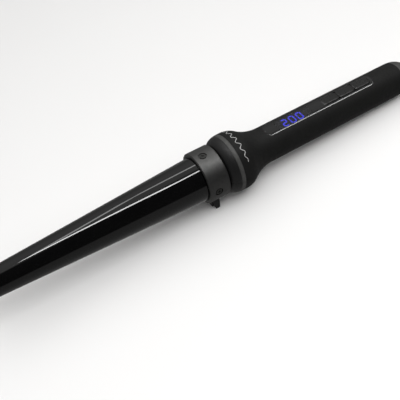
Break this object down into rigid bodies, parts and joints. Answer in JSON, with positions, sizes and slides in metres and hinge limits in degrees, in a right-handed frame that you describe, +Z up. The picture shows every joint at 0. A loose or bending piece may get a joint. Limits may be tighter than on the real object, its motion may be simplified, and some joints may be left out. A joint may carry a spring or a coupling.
{
  "type": "curling wand",
  "caption": "Clipless conical hair curling wand with a screwed collar and stand, flared two-shell handle, lit temperature display, push keys and a swivelling cord inlet.",
  "frame": {"origin": "on the wand's axis, at the mouth of the cord inlet", "axes": "+X along the axis, from the cool tip towards the cord inlet; +Z up through the middle of the control panel; the stand's feet point to -Z"},
  "size_m": [0.367, 0.0434, 0.0449],
  "materials": {
    "ceramic_coat": "gloss ceramic coating",
    "tip_plastic": "heat-resistant plastic, fine matte",
    "flange_plastic": "gloss",
    "collar_paint": "dark grey satin",
    "black_screw": "black oxide",
    "stand_plastic": "fine texture",
    "cap_plastic": "satin",
    "trim_metal": "dark grey satin anodised",
    "soft_touch": "soft-touch coating",
    "panel_gloss": "piano gloss",
    "smoked_lens": "smoked, gloss",
    "button_black": "satin",
    "black_plastic": "moulded",
    "led_blue": "lit segments",
    "insulator": "matte",
    "mica": "matte",
    "alumina": "matte",
    "bare_aluminium": "machined",
    "spring_steel": "rolled",
    "zinc_steel": "zinc plated",
    "board_green": "solder mask",
    "capacitor_resin": "dipped resin",
    "copper": "enamelled copper",
    "contact_copper": "bare contact copper",
    "terminal_green": "moulded",
    "wire_red": "silicone sleeve",
    "wire_blue": "silicone sleeve",
    "wire_brown": "silicone sleeve",
    "wire_white": "glass-fibre sleeve",
    "fuse_glass": "clear",
    "gland_rubber": "matte",
    "holder_plastic": "moulded"
  },
  "bodies": {
    "wand": {"barrel_tube": "ceramic_coat", "cool_tip": "tip_plastic", "tip_washer": "mica", "tip_bracket": "zinc_steel", "tip_screw": "zinc_steel", "heat_block_upper": "bare_aluminium", "heat_block_lower": "bare_aluminium", "heater_plate": "alumina", "heater_spring": "spring_steel", "thermistor": "insulator", "thermal_fuse": "zinc_steel", "barrel_flange": "flange_plastic", "root_insulator": "insulator", "collar": "collar_paint", "collar_screws": "black_screw", "stand": "stand_plastic", "stand_screws": "black_screw", "front_cap_upper": "cap_plastic", "front_cap_lower": "cap_plastic", "trim_ring_upper": "trim_metal", "trim_ring_lower": "trim_metal", "handle_upper_shell": "soft_touch", "handle_lower_shell": "soft_touch", "shell_screws": "black_screw", "panel_cover": "panel_gloss", "display_window": "smoked_lens", "display_module": "black_plastic", "display_digits": "led_blue", "tactile_switches": "black_plastic", "circuit_board": "board_green", "board_screws": "zinc_steel", "microcontroller": "black_plastic", "triac": "black_plastic", "board_fuse": "fuse_glass", "film_capacitor": "capacitor_resin", "choke": "copper", "terminal_block": "terminal_green", "heater_lead_live": "wire_red", "heater_lead_neutral": "wire_blue", "sensor_leads": "wire_white", "mains_lead_live": "wire_brown", "mains_lead_neutral": "wire_blue", "end_cap": "trim_metal", "brush_holder": "holder_plastic", "contact_brushes": "contact_copper"},
    "power_key": {"button_power": "button_black"},
    "plus_key": {"button_plus": "button_black"},
    "minus_key": {"button_minus": "button_black"},
    "cord_swivel": {"swivel_gland": "gland_rubber", "swivel_retainer": "spring_steel", "contact_rings": "contact_copper"}
  },
  "joints": [
    {"name": "power_press", "type": "slide", "parent": "wand", "child": "power_key", "axis": [0, 0, -1], "range_m": [0, 0.0006], "stiffness_N_per_m": 1500, "springref_m": -0.0003},
    {"name": "plus_press", "type": "slide", "parent": "wand", "child": "plus_key", "axis": [0, 0, -1], "range_m": [0, 0.0006], "stiffness_N_per_m": 1500, "springref_m": -0.0003},
    {"name": "minus_press", "type": "slide", "parent": "wand", "child": "minus_key", "axis": [0, 0, -1], "range_m": [0, 0.0006], "stiffness_N_per_m": 1500, "springref_m": -0.0003},
    {"name": "cord_swivel_turn", "type": "hinge", "parent": "wand", "child": "cord_swivel", "pos_m": [-0.012, 0, 0], "axis": [1, 0, 0], "continuous": true}
  ]
}
